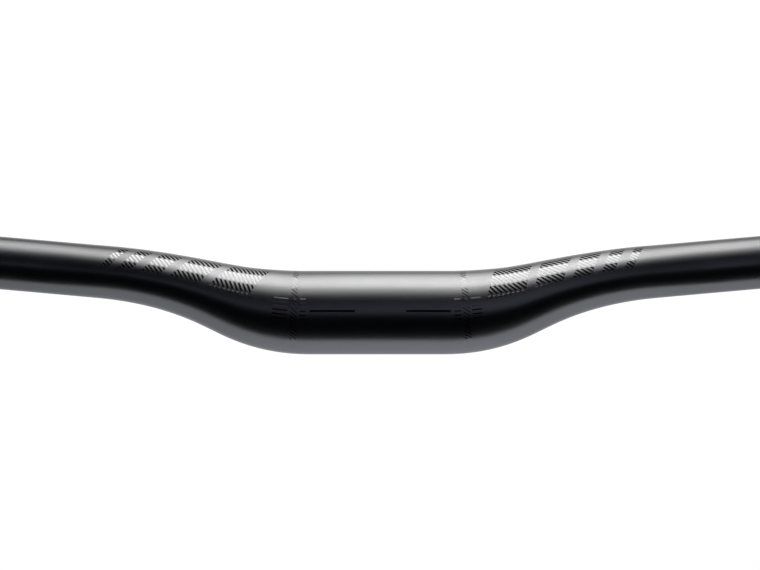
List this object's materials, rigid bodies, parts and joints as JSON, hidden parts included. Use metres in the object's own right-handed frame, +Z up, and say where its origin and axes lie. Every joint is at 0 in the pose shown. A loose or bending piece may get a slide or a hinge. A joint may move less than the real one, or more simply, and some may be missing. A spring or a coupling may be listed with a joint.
{
  "type": "mountain bike handlebar",
  "caption": "Riser handlebar: a bent, butted aluminium tube that tapers from a thick stem clamp in the middle to swept-back grips, open at both ends.",
  "frame": {"origin": "middle of the stem clamp, on its axis", "axes": "+X along the bar to the rider's left, +Y back towards the rider, +Z up; the grips rise, and sweep back to +Y"},
  "size_m": [0.8034, 0.075, 0.0704],
  "materials": {
    "black_bar": "satin"
  },
  "bodies": {
    "root": {"handlebar": "black_bar"}
  },
  "joints": []
}
